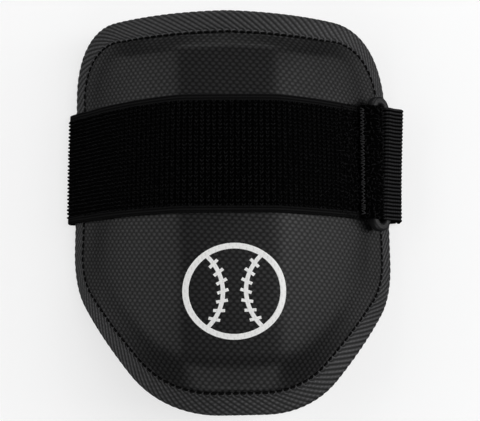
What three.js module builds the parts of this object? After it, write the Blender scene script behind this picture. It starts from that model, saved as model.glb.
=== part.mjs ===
// A baseball elbow guard: a moulded foam shell covered in woven nylon, bent round the arm, with a tape
// bound over its edge and an elastic strap that circles shell and arm and closes through a plastic ring.
// Millimetres, +Z out of the guard's face and +Y towards its upper-arm end. It lies face up on its sides.
import * as THREE from "three";

// Clear space kept between two pieces that touch.
const pieceGap = 0.3;

// Shell section: a round channel for the arm, with foam of varying thickness on its outside.
const innerRadius = 79.8;
const rimThickness = 3.4; // pressed thin where the binding is sewn on
const centreThickness = 10.7;
const ridgeRise = 1.7; // the foam is this much thicker at the two ridges than between them
const ridgeDegrees = 12.9; // from the middle of the face to a ridge
const ridgeSoftness = 0.45;
const sideDegrees = 57; // where the side facets have come down to the rim's thickness
const sideHollow = 1.96; // how far the side facets lie below an even taper
const lengthwiseRadius = 800; // gentle bend of the whole guard along the arm
const lengthwiseCrest = 8; // height along Y of the highest point of that bend

// Width of the bevel that climbs from the binding to the raised panel, at three places of the outline.
const bevelAtTop = 7.5;
const bevelAtSide = 9.5;
const bevelAtBottom = 11.5;

// Outline of the guard laid flat: half widths along the bend, and heights above or below the middle.
const topHeight = 89.7;
const topCornerDrop = 2.2;
const topHalfWidth = 86.3;
const topCornerRadius = 34;
const hipHalfWidth = 87.2;
const hipBelow = 1;
const hipRadius = 40;
const wideHalfWidth = 88.2;
const wideBelow = 31;
const wideRadius = 33;
const bottomHalfWidth = 33.4;
const bottomBelow = 84.4;
const bottomCornerRadius = 54;

// Binding tape, folded over the edge.
const tapeThickness = 0.9;
const tapeReach = 10.2; // how far each leg of the fold covers the face
const tapeRoundness = 0.72; // share of the half thickness of the edge that the fold rounds off

// Strap: loop-faced elastic.
const strapWidth = 50.8;
const strapThickness = 1.6;
const strapCentre = 24.4; // height of its middle line along Y
const strapSlantDegrees = -0.85;
const sewnEndFromRing = 6.7; // along the face, from the ring's direction to the strap's sewn end
const sideClearance = 0.7; // between the strap and the bound edge where it goes round
const floorBendRadius = 3.6; // of the strap's middle line, where it turns under the guard
const tailEndHeight = 2.4; // of the strap's free end above the surface the guard lies on

// Ring: moulded plastic loop with two long bars.
const ringFromEdge = 19.3; // along the face, from the guard's edge to the place that the ring faces away from
const ringOffset = 4.4; // of its middle along its own face, from that place
const ringThickness = 4.2;
const ringBar = 3.6;
const ringEndClearance = 1.4; // between the strap's edge and the end of the slot
const ringRounding = 1.1;

// Patch of hook tape that holds the free end.
const patchThickness = 1.2;
const patchInset = 2.4; // from each edge of the strap
const patchTop = 11.6;

// How finely round forms are divided.
const outlineSteps = 104;
const outlineMargin = 4; // looked at beyond the strap's edges, so that no outline step is missed
const foldSteps = 3;
const cornerSteps = 16;
const strapSteps = 36;

const degrees = Math.PI / 180;
const rimRadius = innerRadius + rimThickness + pieceGap + tapeThickness; // outside of the binding
const edgeInset = pieceGap + tapeThickness; // the shell's edge lies this far inside the binding's

// Points along a fillet of the given radius at corner b, between the directions to a and c.
function fillet(a, b, c, radius, steps) {
  const toA = a.clone().sub(b).normalize();
  const toC = c.clone().sub(b).normalize();
  const half = Math.acos(THREE.MathUtils.clamp(toA.dot(toC), -1, 1)) / 2;
  if (radius <= 0 || Math.PI / 2 - half < 1e-4) return [b.clone()];
  const room = 0.98 * Math.min(a.distanceTo(b), b.distanceTo(c));
  const reach = Math.min(radius / Math.tan(half), room);
  const r = reach * Math.tan(half);
  const centre = b.clone().add(toA.clone().add(toC).normalize().multiplyScalar(r / Math.sin(half)));
  const from = b.clone().addScaledVector(toA, reach).sub(centre);
  const to = b.clone().addScaledVector(toC, reach).sub(centre);
  let sweep = to.angle() - from.angle();
  if (sweep > Math.PI) sweep -= 2 * Math.PI;
  if (sweep < -Math.PI) sweep += 2 * Math.PI;
  return Array.from({ length: steps + 1 }, (_, i) =>
    from.clone().rotateAround(new THREE.Vector2(), (sweep * i) / steps).add(centre),
  );
}

// The flat outline as evenly spaced points, anticlockwise from the middle of the lower end, each with
// its outward normal and its distance from the middle measured along that normal.
function flatOutline() {
  const right = [
    { x: bottomHalfWidth, y: -bottomBelow, r: bottomCornerRadius },
    { x: wideHalfWidth, y: -wideBelow, r: wideRadius },
    { x: hipHalfWidth, y: -hipBelow, r: hipRadius },
    { x: topHalfWidth, y: topHeight - topCornerDrop, r: topCornerRadius },
  ];
  const left = right.map(({ x, y, r }) => ({ x: -x, y, r })).reverse();
  const corners = [...right, { x: 0, y: topHeight, r: 0 }, ...left, { x: 0, y: -bottomBelow, r: 0 }];
  const at = (i) => {
    const { x, y } = corners[(i + corners.length) % corners.length];
    return new THREE.Vector2(x, y);
  };
  // Neighbouring fillets share a side, so each may use up to half of it.
  const middle = (i, j) => at(i).add(at(j)).multiplyScalar(0.5);
  const path = corners.flatMap(({ r }, i) =>
    fillet(middle(i, i - 1), at(i), middle(i, i + 1), r, cornerSteps),
  );
  path.push(path[0].clone());
  const start = path.findIndex((p) => Math.abs(p.x) < 1e-6 && p.y < 0);
  const turned = [...path.slice(start, -1), ...path.slice(0, start + 1)];
  const lengths = [0];
  turned.slice(1).forEach((p, i) => lengths.push(lengths[i] + p.distanceTo(turned[i])));
  const total = lengths[lengths.length - 1];
  const points = Array.from({ length: outlineSteps }, (_, i) => {
    const s = (total * i) / outlineSteps;
    const k = Math.max(1, lengths.findIndex((length) => length >= s));
    return turned[k - 1].clone().lerp(turned[k], (s - lengths[k - 1]) / (lengths[k] - lengths[k - 1]));
  });
  return points.map((p, i) => {
    const before = points[(i - 1 + outlineSteps) % outlineSteps];
    const tangent = points[(i + 1) % outlineSteps].clone().sub(before);
    const normal = new THREE.Vector2(tangent.y, -tangent.x).normalize();
    return { point: p, normal, depth: p.dot(normal) };
  });
}

const outline = flatOutline();

// The outline drawn in by a distance, and then shrunk towards the middle by a share.
function insetOutline(distance, share = 1) {
  return outline.map(({ point, depth }) => point.clone().multiplyScalar((1 - distance / depth) * share));
}

// Foam thickness of the raised panel at an angle from the middle of the face: a shallow middle facet
// and two side facets, joined at the soft ridges.
function panelThickness(angle) {
  const turn = Math.abs(angle) / degrees;
  const middleFacet = centreThickness + ridgeRise * (turn / ridgeDegrees) ** 2;
  const q = (turn - ridgeDegrees) / (sideDegrees - ridgeDegrees);
  const ridgeThickness = centreThickness + ridgeRise;
  const sideFacet = THREE.MathUtils.lerp(ridgeThickness, rimThickness, q) - sideHollow * 4 * q * (1 - q);
  const lower = Math.min(middleFacet, sideFacet);
  const rest = Math.abs(middleFacet - sideFacet);
  const blended = lower - ridgeSoftness * Math.log1p(Math.exp(-rest / ridgeSoftness));
  return turn > sideDegrees ? rimThickness : Math.max(blended, rimThickness);
}

// Thickness of the shell at a point drawn in from outline point i by a distance.
function shellThickness(i, distance, angle) {
  const upward = outline[i].normal.y;
  const bevelAtEnd = upward > 0 ? bevelAtTop : bevelAtBottom;
  const bevel = THREE.MathUtils.lerp(bevelAtSide, bevelAtEnd, Math.abs(upward));
  const rise = THREE.MathUtils.smoothstep(distance, tapeReach + pieceGap, tapeReach + pieceGap + bevel);
  return rimThickness + (panelThickness(angle) - rimThickness) * rise;
}

// Bends a flat point, at a height above the shell's inner face, into place. The axis of the bend is
// at z = 0 here, and the whole guard is lifted onto the surface afterwards.
function bend(flat, height) {
  const angle = flat.x / rimRadius;
  const r = innerRadius + height;
  const sag = (flat.y - lengthwiseCrest) ** 2 / (2 * lengthwiseRadius);
  return new THREE.Vector3(r * Math.sin(angle), flat.y, r * Math.cos(angle) - sag);
}

// A closed skin over rings of equal count. One-point rings close its two ends; without them the
// last ring joins the first.
function skin(rings) {
  const poles = rings[0].length === 1;
  const count = rings[1].length;
  const positions = [];
  const starts = [];
  rings.forEach((ring) => {
    starts.push(positions.length / 3);
    ring.forEach((p) => positions.push(p.x, p.y, p.z));
  });
  const vertex = (k, i) => starts[k] + (rings[k].length === 1 ? 0 : i % count);
  const index = [];
  const pairs = poles ? rings.length - 1 : rings.length;
  for (let k = 0; k < pairs; k += 1) {
    const next = (k + 1) % rings.length;
    for (let i = 0; i < count; i += 1) {
      const [a, b] = [vertex(k, i), vertex(k, i + 1)];
      const [c, d] = [vertex(next, i), vertex(next, i + 1)];
      if (a !== b) index.push(a, c, b);
      if (c !== d) index.push(b, c, d);
    }
  }
  const geometry = new THREE.BufferGeometry();
  geometry.setAttribute("position", new THREE.Float32BufferAttribute(positions, 3));
  geometry.setIndex(index);
  geometry.computeVertexNormals();
  return geometry;
}

// The moulded shell: outer face from its middle to the edge, then the inner face back to its middle.
function shellGeometry() {
  const toBinding = tapeReach + pieceGap;
  const widestBevel = Math.max(bevelAtTop, bevelAtSide, bevelAtBottom);
  const bevelShares = [0, 0.18, 0.36, 0.55, 0.75, 1];
  const outerRings = [
    ...[0.12, 0.3, 0.47, 0.63, 0.77, 0.89].map((share) => ({ distance: toBinding + widestBevel, share })),
    ...bevelShares.map((s) => ({ distance: toBinding + widestBevel * s, share: 1 })).reverse(),
    { distance: edgeInset + 0.6, share: 1 },
  ];
  const innerRings = [
    { distance: edgeInset + 0.6, share: 1 },
    { distance: toBinding, share: 1 },
    ...[0.9, 0.7, 0.5, 0.3, 0.12].map((share) => ({ distance: toBinding, share })),
  ];
  const outer = outerRings.map(({ distance, share }) =>
    insetOutline(distance, share).map((flat, i) => {
      const drawnIn = share === 1 ? distance : Infinity;
      return bend(flat, shellThickness(i, drawnIn, flat.x / rimRadius));
    }),
  );
  const edge = insetOutline(edgeInset).map((flat) => [
    bend(flat, rimThickness - 0.6),
    bend(flat, 0.6),
  ]);
  const inner = innerRings.map(({ distance, share }) =>
    insetOutline(distance, share).map((flat) => bend(flat, 0)),
  );
  const origin = new THREE.Vector2();
  return skin([
    [bend(origin, panelThickness(0))],
    ...outer,
    edge.map(([upper]) => upper),
    edge.map(([, lower]) => lower),
    ...inner,
    [bend(origin, 0)],
  ]);
}

// Section of the binding as pairs of distance in from the edge and height above the shell's inner face:
// out along the outer leg, round the fold, in along the inner leg, and back on the inside.
function bindingSection() {
  const top = rimThickness + pieceGap + tapeThickness;
  const bottom = -pieceGap - tapeThickness;
  const middle = (top + bottom) / 2;
  const halfHeight = (top - bottom) / 2;
  const fold = (inset) => {
    const radius = Math.max(tapeRoundness * halfHeight - inset, 0.2);
    const flat = halfHeight - inset - radius;
    return Array.from({ length: 2 * foldSteps + 2 }, (_, i) => {
      const half = i <= foldSteps ? 1 : -1;
      const angle = i <= foldSteps ? (i / foldSteps) * 90 : 90 - ((i - foldSteps - 1) / foldSteps) * 90;
      const up = radius * Math.cos(angle * degrees) + flat;
      return { distance: inset + radius * (1 - Math.sin(angle * degrees)), height: middle + half * up };
    });
  };
  return [
    { distance: tapeReach, height: top },
    ...fold(0),
    { distance: tapeReach, height: bottom },
    { distance: tapeReach, height: bottom + tapeThickness },
    ...fold(tapeThickness).reverse(),
    { distance: tapeReach, height: top - tapeThickness },
  ];
}

function bindingGeometry() {
  const loops = bindingSection().map(({ distance, height }) =>
    insetOutline(distance).map((flat) => bend(flat, height)),
  );
  return skin(loops);
}

// How far the slanted strap reaches along Y from the height of its middle.
const strapReach = strapWidth / 2 + rimRadius * Math.sin(Math.abs(strapSlantDegrees) * degrees);

// Half angles that the bound edge has beside the strap, from the narrowest to the widest.
function edgeAnglesAtStrap() {
  const beside = outline.filter(({ point }) => Math.abs(point.y - strapCentre) < strapReach);
  return beside.map(({ point }) => Math.abs(point.x) / rimRadius).sort((a, b) => a - b);
}

const narrowestEdge = edgeAnglesAtStrap()[0];
const widestEdge = edgeAnglesAtStrap().pop();
const ringAngle = widestEdge - ringFromEdge / rimRadius;

// Radius of the guard's outside at an angle, at the strap: the raised panel or the binding.
function outsideRadius(angle) {
  const bound = narrowestEdge - (tapeReach + 2 * pieceGap) / rimRadius;
  return Math.abs(angle) > bound ? rimRadius : innerRadius + panelThickness(angle);
}

// How much nearer to the flank one edge of the slanted strap comes than its middle line.
function slantClearance(angle) {
  return (strapWidth / 2) * Math.sin(Math.abs(strapSlantDegrees) * degrees) * Math.abs(Math.sin(angle));
}

const ringSlot = 2 * strapThickness + 3 * pieceGap + ringRounding;
const ringWidth = ringSlot + 2 * ringBar;
const ringLength = strapWidth + 2 * (ringEndClearance + ringBar);

// Height of the ring's back face above the bend's axis, along the ring's own direction: it clears
// the shell, or the binding, by one layer of strap.
function ringBackHeight() {
  const layer = strapThickness + 2 * pieceGap;
  const across = Array.from({ length: 9 }, (_, i) => ringOffset + ringWidth * (i / 8 - 0.5));
  return Math.max(
    ...across.map((t) => {
      const angle = ringAngle + Math.atan2(t, rimRadius);
      return Math.sqrt((outsideRadius(angle) + slantClearance(angle) + layer) ** 2 - t ** 2);
    }),
  );
}

// A point in the strap's plane, given along the ring's face and out from the bend's axis.
function atRing(along, out) {
  const direction = new THREE.Vector2(Math.sin(ringAngle), Math.cos(ringAngle));
  const face = new THREE.Vector2(direction.y, -direction.x);
  return direction.multiplyScalar(out).addScaledVector(face, along);
}

// The strap's middle line in its own plane, as corners with the radius of each turn. It starts at
// the sewn end on the face, turns round the ring's near bar, crosses the face, passes under the arm
// and comes back through the ring, over its far bar, to the free end.
function strapCorners(floorZ) {
  const half = strapThickness / 2;
  const off = pieceGap + half; // from a surface to the strap's middle line
  const back = ringBackHeight();
  const above = back + ringThickness + off;
  const below = back - off;
  const nearBar = ringOffset - ringSlot / 2;
  const farBar = ringOffset + ringSlot / 2;
  const tight = Math.max(off, 0.5);
  const onFace = (angle, height) => {
    const r = outsideRadius(angle) + height + slantClearance(angle);
    return new THREE.Vector2(r * Math.sin(angle), r * Math.cos(angle));
  };
  const corners = [];
  const add = (point, r = 0) => corners.push({ point, r });

  add(onFace(ringAngle - sewnEndFromRing / rimRadius, off + strapThickness + pieceGap));
  add(atRing(nearBar - ringBar, above), 4);
  add(atRing(nearBar + off, above), tight);
  add(atRing(nearBar + off, below), tight);

  const underRing = ringAngle - Math.atan2(ringBar - nearBar, below);
  for (let i = 0; i <= strapSteps; i += 1) {
    add(onFace(THREE.MathUtils.lerp(underRing, -widestEdge, i / strapSteps), off), 6);
  }
  const sideX = rimRadius * Math.sin(widestEdge) + sideClearance + half;
  const spanZ = floorZ + half;
  add(new THREE.Vector2(-sideX, rimRadius * Math.cos(widestEdge)), 2);
  add(new THREE.Vector2(-sideX, spanZ), floorBendRadius);
  add(new THREE.Vector2(sideX, spanZ), floorBendRadius);

  const patchZ = floorZ + patchTop;
  const tailX = sideX + strapThickness + patchThickness + 2 * pieceGap;
  add(new THREE.Vector2(sideX, patchZ), 4);
  add(atRing(farBar + ringBar, below), 4);
  add(atRing(farBar - off, below), tight);
  add(atRing(farBar - off, above), tight);
  add(atRing(farBar + ringBar, above), 4);
  add(new THREE.Vector2(tailX, patchZ + ringThickness), 4);
  add(new THREE.Vector2(tailX, floorZ + tailEndHeight));
  return corners;
}

// A flat ribbon along the corners, as wide as the strap is, standing across the strap's plane.
function ribbonGeometry(corners, thickness, width) {
  const line = corners.flatMap(({ point, r }, i) => {
    if (i === 0 || i === corners.length - 1) return [point];
    const before = corners[i - 1].point.clone().add(point).multiplyScalar(0.5);
    const after = corners[i + 1].point.clone().add(point).multiplyScalar(0.5);
    const steps = r > 0 && r < 3 ? 5 : 3;
    return fillet(i === 1 ? corners[0].point : before, point, after, r, steps);
  });
  const kept = line.filter((p, i) => i === 0 || p.distanceTo(line[i - 1]) > 0.02);
  const side = (sign) =>
    kept.map((p, i) => {
      const ahead = kept[Math.min(i + 1, kept.length - 1)];
      const behind = kept[Math.max(i - 1, 0)];
      const normal = new THREE.Vector2(behind.y - ahead.y, ahead.x - behind.x).normalize();
      return p.clone().addScaledVector(normal, (sign * thickness) / 2);
    });
  const shape = new THREE.Shape([...side(1), ...side(-1).reverse()]);
  const geometry = new THREE.ExtrudeGeometry(shape, { depth: width, bevelEnabled: false });
  return geometry.translate(0, 0, -width / 2).rotateX(Math.PI / 2);
}

// A long loop with round ends and softened edges, its face towards +Z and its bars along Y.
function ringGeometry() {
  const stadium = (path, halfWidth, halfLength) => {
    const straight = halfLength - halfWidth;
    path.absarc(0, straight, halfWidth, 0, Math.PI, false);
    path.absarc(0, -straight, halfWidth, Math.PI, 2 * Math.PI, false);
    return path;
  };
  const shape = stadium(new THREE.Shape(), ringWidth / 2, ringLength / 2);
  shape.holes.push(stadium(new THREE.Path(), ringSlot / 2, ringLength / 2 - ringBar));
  return new THREE.ExtrudeGeometry(shape, {
    depth: ringThickness - 2 * ringRounding,
    bevelEnabled: true,
    bevelThickness: ringRounding,
    bevelSize: ringRounding,
    bevelOffset: -ringRounding,
    bevelSegments: 2,
    curveSegments: 8,
  }).translate(0, 0, ringRounding - ringThickness / 2);
}

// Height of the lowest bound edge over the strap's hidden stretch.
function lowestOverStrap(edge) {
  const { position } = edge.attributes;
  const heights = [];
  for (let i = 0; i < position.count; i += 1) {
    const beside = Math.abs(position.getY(i) - strapCentre) < strapReach + outlineMargin;
    if (beside) heights.push(position.getZ(i));
  }
  return Math.min(...heights);
}

function material(color, roughness) {
  return new THREE.MeshStandardMaterial({ color, roughness, metalness: 0 });
}

function piece(name, geometry, look) {
  const mesh = new THREE.Mesh(geometry, look);
  mesh.name = name;
  return mesh;
}

const wovenNylon = material(0x2b2b2d, 0.62);
const twillTape = material(0x3a3a3c, 0.7);
const loopElastic = material(0x0b0b0c, 0.95);
const mouldedPlastic = material(0x303033, 0.45);

const guard = new THREE.Group();
const body = new THREE.Group();
const binding = piece("edge_binding", bindingGeometry(), twillTape);
body.add(piece("shell", shellGeometry(), wovenNylon), binding);

// The guard lies on its strap, which passes under the bound edge, or on that edge where it is lower.
binding.geometry.computeBoundingBox();
const underStrap = lowestOverStrap(binding.geometry) - pieceGap - strapThickness;
const floorZ = Math.min(binding.geometry.boundingBox.min.z, underStrap);

// The strap, its ring and its patch share a plane that is slanted across the guard.
const fastening = new THREE.Group();
fastening.position.y = strapCentre;
fastening.rotation.z = strapSlantDegrees * degrees;
const ribbon = ribbonGeometry(strapCorners(floorZ), strapThickness, strapWidth);
fastening.add(piece("strap", ribbon, loopElastic));

const ring = piece("strap_ring", ringGeometry(), mouldedPlastic);
const ringMiddle = atRing(ringOffset, ringBackHeight() + ringThickness / 2);
ring.position.set(ringMiddle.x, 0, ringMiddle.y);
ring.rotation.y = ringAngle;
fastening.add(ring);

const patchHeight = patchTop - tailEndHeight - floorBendRadius / 2;
const patch = piece(
  "hook_patch",
  new THREE.BoxGeometry(patchThickness, strapWidth - 2 * patchInset, patchHeight),
  loopElastic,
);
const strapSideX = rimRadius * Math.sin(widestEdge) + sideClearance + strapThickness;
patch.position.set(strapSideX + pieceGap + patchThickness / 2, 0, floorZ + patchTop - patchHeight / 2);
fastening.add(patch);

// The part's origin is the middle of its footprint, on the surface it lies on.
guard.add(body, fastening);
guard.updateMatrixWorld(true);
const bounds = new THREE.Box3().setFromObject(guard);
const footprint = bounds.getCenter(new THREE.Vector3());
guard.position.set(-footprint.x, -footprint.y, -bounds.min.z);

export default guard;
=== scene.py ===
import math

import bpy
from mathutils import Matrix, Vector


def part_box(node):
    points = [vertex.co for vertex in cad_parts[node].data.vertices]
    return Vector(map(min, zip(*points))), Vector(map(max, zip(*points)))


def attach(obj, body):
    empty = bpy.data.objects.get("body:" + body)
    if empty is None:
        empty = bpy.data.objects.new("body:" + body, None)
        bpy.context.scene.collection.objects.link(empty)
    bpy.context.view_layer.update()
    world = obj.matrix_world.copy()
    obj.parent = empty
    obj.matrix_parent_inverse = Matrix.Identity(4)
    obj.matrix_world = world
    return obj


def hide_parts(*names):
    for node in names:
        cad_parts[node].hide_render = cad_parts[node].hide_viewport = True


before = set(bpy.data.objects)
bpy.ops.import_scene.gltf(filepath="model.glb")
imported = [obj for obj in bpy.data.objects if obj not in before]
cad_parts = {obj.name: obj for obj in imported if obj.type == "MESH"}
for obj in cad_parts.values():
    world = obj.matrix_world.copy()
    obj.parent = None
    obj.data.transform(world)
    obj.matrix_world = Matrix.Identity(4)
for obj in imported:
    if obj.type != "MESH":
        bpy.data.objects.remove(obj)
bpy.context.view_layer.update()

MM = 0.001
CAMERA_AWAY = 500.0
CAMERA_YAW = 0.68
CAMERA_PITCH = 6.49
CAMERA_ROLL = 1.0
CAMERA_ASIDE = 4.77
CAMERA_DOWN = 0.26
LENS = 89.54
SENSOR = 36.0
PANEL_CROWN = 92.0  # of the panel over the axis that the guard is bent round
RIM_RADIUS = 84.4  # of the bound edge round that axis
TAPE_CROWN_SAG = 3.195  # of the binding's highest point, below the top of the guard's lengthwise bend
MIDDLE_LINE = 2.65  # along Y, from the middle of the flat outline back to the height that it is laid out from


def add_object(name, data):
    """A new object of the scene."""
    made = bpy.data.objects.new(name, data)
    bpy.context.scene.collection.objects.link(made)
    return made


tape_low, tape_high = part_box("edge_binding")
guard_x = (tape_low[0] + tape_high[0]) / 2 / MM
guard_y = (tape_low[1] + tape_high[1]) / 2 / MM - MIDDLE_LINE
axis_z = tape_high[2] / MM - RIM_RADIUS + TAPE_CROWN_SAG

turn = (
    Matrix.Rotation(math.radians(CAMERA_YAW), 3, "Y")
    @ Matrix.Rotation(math.radians(CAMERA_PITCH), 3, "X")
    @ Matrix.Rotation(math.radians(-CAMERA_ROLL), 3, "Z")
)
aim = Vector((guard_x, guard_y, axis_z + PANEL_CROWN))
aside = Vector((CAMERA_ASIDE, -CAMERA_DOWN, CAMERA_AWAY))
camera_data = bpy.data.cameras.new("camera")
camera_data.lens = LENS
camera_data.sensor_width = SENSOR
camera_data.sensor_fit = "HORIZONTAL"
camera = add_object("camera", camera_data)
camera.matrix_world = Matrix.Translation((aim + turn @ aside) * MM) @ turn.to_4x4()
bpy.context.scene.camera = camera
bpy.context.scene.view_settings.view_transform = "Standard"

# Studio
# A pale table top under softboxes at the guard's sides and beyond its ends, and a weak even sky of light.
# A tall strip light over the ring's side draws the soft bright line along the panel's ridge there.
FLOOR_SIDE = 6000.0
FLOOR_COLOUR = (0.4, 0.4, 0.402, 1)
FLOOR_GLOW = 0.62
SKY_STRENGTH = 0.06


def lamp(name, place, width, height, power):
    """A softbox in millimetres, turned to the middle of the guard."""
    data = bpy.data.lights.new(name, "AREA")
    data.shape = "RECTANGLE"
    data.size = width * MM
    data.size_y = height * MM
    data.energy = power
    lamp_object = add_object(name, data)
    lamp_object.location = Vector(place) * MM
    lamp_object.rotation_euler = (-Vector(place)).to_track_quat("-Z", "Y").to_euler()


lamp("striplight_right", (540, 60, 860), 220, 1300, 4.4)
lamp("softbox_right", (1000, 100, 380), 600, 1100, 6)
lamp("softbox_left", (-940, 100, 450), 860, 1200, 6)
lamp("softbox_above", (0, 1000, 300), 1100, 700, 4)
lamp("softbox_below", (0, -1100, 250), 1000, 600, 4.6)

sky = bpy.data.worlds.new("sky")
sky.use_nodes = True
background = sky.node_tree.nodes["Background"].inputs
background["Color"].default_value = (1, 1, 1, 1)
background["Strength"].default_value = SKY_STRENGTH
bpy.context.scene.world = sky

floor_mesh = bpy.data.meshes.new("floor")
floor_half = FLOOR_SIDE / 2 * MM
floor_corners = [(x * floor_half, y * floor_half, 0) for x, y in ((-1, -1), (1, -1), (1, 1), (-1, 1))]
floor_mesh.from_pydata(floor_corners, [], [(0, 1, 2, 3)])
floor_look = bpy.data.materials.new("table_top")
floor_look.use_nodes = True
table_values = {
    "Base Color": FLOOR_COLOUR,
    "Roughness": 0.9,
    "Specular IOR Level": 0.1,
    "Emission Color": (1, 1, 1, 1),
    "Emission Strength": FLOOR_GLOW,
}
for socket, value in table_values.items():
    floor_look.node_tree.nodes["Principled BSDF"].inputs[socket].default_value = value
floor_mesh.materials.append(floor_look)
floor = add_object("floor", floor_mesh)
# The table glows for the camera alone and throws none of it onto the guard.
floor.visible_diffuse = False
floor.visible_glossy = False

# Shell
# A slab of closed-cell foam, moulded round the arm with a raised panel of three soft facets.
# A plain-woven black nylon cover is stretched over it and pressed thin where the edge is bound.
import bmesh
import numpy as np

SEAT_GAP = 0.3
TOUCHING = 0.05
INNER_RADIUS = 79.8
RIM_THICKNESS = 3.4
CENTRE_THICKNESS = 10.7
RIDGE_RISE = 1.7
RIDGE_DEGREES = 12.9
RIDGE_SOFTNESS = 0.45
SIDE_DEGREES = 57.0
SIDE_HOLLOW = 1.96
LENGTHWISE_RADIUS = 800.0
LENGTHWISE_CREST = 8.0
BEVEL_AT_TOP = 7.0
BEVEL_AT_SIDE = 9.5
BEVEL_AT_BOTTOM = 11.5
BEVEL_SOFTNESS = 0.16  # of its two corners, as a share of its width
BEVEL_FOOT = 0.15  # the share of its width in which it leaves the foam's swell
TOP = 89.7
BOTTOM = -85.8
TAPE_THICKNESS = 0.9
TAPE_REACH = 10.2
TAPE_REACH_ENDS = 0.45  # further over the face at the upper end, and as much less at the lower
TAPE_REACH_CORNERS = -1.45  # further over the face at two opposite corners, and less at the others
# Corners of the outline laid flat, as x, y and radius, anticlockwise from the middle of its lower end.
# The two halves of the sewn guard aren't quite even.
OUTLINE_CORNERS = [
    (0.0, BOTTOM, 0.0),
    (34.6, BOTTOM, 50.0),
    (88.9, -34.9, 32.0),
    (88.4, -2.1, 40.0),
    (87.7, 85.3, 38.1),
    (0.0, TOP, 0.0),
    (-84.8, 89.5, 29.8),
    (-85.9, 5.0, 40.0),
    (-88.5, -27.2, 34.2),
    (-30.2, BOTTOM, 60.0),
]
FOAM_SWELL = 1.15  # of the free foam over the foam that the tape presses down
WARP_PITCH = 1.34
WEFT_PITCH = 1.58
COVER_DARK = (0.0002, 0.0002, 0.0003, 1)
COVER_LIGHT = (0.0122, 0.0122, 0.0128, 1)
WEAVE_RELIEF = 0.35
FADED_PATCH = 1.3  # size of the patches where the cloth is a little paler or darker
YARN_FUZZ = 0.35
RIM_CORNER = 0.6  # cut off the foam's rim inside the tape

ROOT = "root"


def fillet(before, corner, after, radius, step_degrees):
    """Points along an arc that rounds a corner, without passing the two neighbouring points."""
    back = (before - corner) / np.linalg.norm(before - corner)
    on = (after - corner) / np.linalg.norm(after - corner)
    half = math.acos(float(np.clip(back @ on, -1, 1))) / 2
    if radius <= 0 or math.pi / 2 - half < 1e-4:
        return [corner]
    room = 0.98 * min(np.linalg.norm(before - corner), np.linalg.norm(after - corner))
    reach = min(radius / math.tan(half), room)
    r = reach * math.tan(half)
    centre = corner + (back + on) / np.linalg.norm(back + on) * r / math.sin(half)
    first = corner + back * reach - centre
    last = corner + on * reach - centre
    start = math.atan2(first[1], first[0])
    sweep = (math.atan2(last[1], last[0]) - start + math.pi) % (2 * math.pi) - math.pi
    steps = max(2, round(abs(math.degrees(sweep)) / step_degrees))
    turns = start + sweep * np.arange(steps + 1) / steps
    return list(centre + r * np.stack([np.cos(turns), np.sin(turns)], axis=1))


def distances_along(path):
    """Distances of a path's points along it."""
    return np.concatenate([[0], np.cumsum(np.linalg.norm(np.diff(path, axis=0), axis=1))])


def at_places(places, distances, path):
    """Points at places along a path whose own points are at the distances."""
    return np.stack([np.interp(places, distances, path[:, k]) for k in range(path.shape[1])], axis=1)


def resample(path, count):
    """Evenly spaced points on an open path, and their distances along it."""
    distances = distances_along(path)
    places = np.linspace(0, distances[-1], count)
    return at_places(places, distances, path), places


def unit(vectors):
    return vectors / np.linalg.norm(vectors, axis=1, keepdims=True)


def right_of(ahead):
    """Unit vectors to the right of directions in a plane."""
    return unit(np.stack([ahead[:, 1], -ahead[:, 0]], axis=1))


def flat_outline(count):
    """The guard's outline laid flat, anticlockwise from the middle of its lower end."""
    at = [np.array(corner[:2]) for corner in OUTLINE_CORNERS]
    radii = [corner[2] for corner in OUTLINE_CORNERS]
    path = []
    for i, radius in enumerate(radii):
        before, after = (
            at[i] + (at[near] - at[i]) * (0.5 if radii[near] else 0.98) for near in (i - 1, (i + 1) % len(at))
        )
        path += fillet(before, at[i], after, radius, 3.0)
    path.append(path[0])
    points, places = resample(np.array(path), count + 1)
    points = points[:-1]
    normals = right_of(np.roll(points, -1, axis=0) - np.roll(points, 1, axis=0))
    across, upward = normals[:, 0], normals[:, 1]
    return {
        "points": points,
        "normals": normals,
        "depth": np.sum(points * normals, axis=1),
        "places": places,
        "reach": TAPE_REACH + TAPE_REACH_ENDS * upward + TAPE_REACH_CORNERS * across * upward,
    }


def drawn_in(outline, distance, share=1.0):
    """The outline moved inwards by a distance, or by one distance for each point, then shrunk."""
    return outline["points"] * ((1 - distance / outline["depth"]) * share)[:, None]


def panel_thickness(angle):
    """Foam under the three facets, by the angle from the middle of the face."""
    turned = np.abs(np.degrees(angle))
    middle = CENTRE_THICKNESS + RIDGE_RISE * (turned / RIDGE_DEGREES) ** 2
    q = (turned - RIDGE_DEGREES) / (SIDE_DEGREES - RIDGE_DEGREES)
    ridge = CENTRE_THICKNESS + RIDGE_RISE
    side = ridge + (RIM_THICKNESS - ridge) * q - SIDE_HOLLOW * 4 * q * (1 - q)
    blended = np.minimum(middle, side)
    blended -= RIDGE_SOFTNESS * np.log1p(np.exp(-np.abs(middle - side) / RIDGE_SOFTNESS))
    return np.where(turned > SIDE_DEGREES, RIM_THICKNESS, np.maximum(blended, RIM_THICKNESS))


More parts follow.
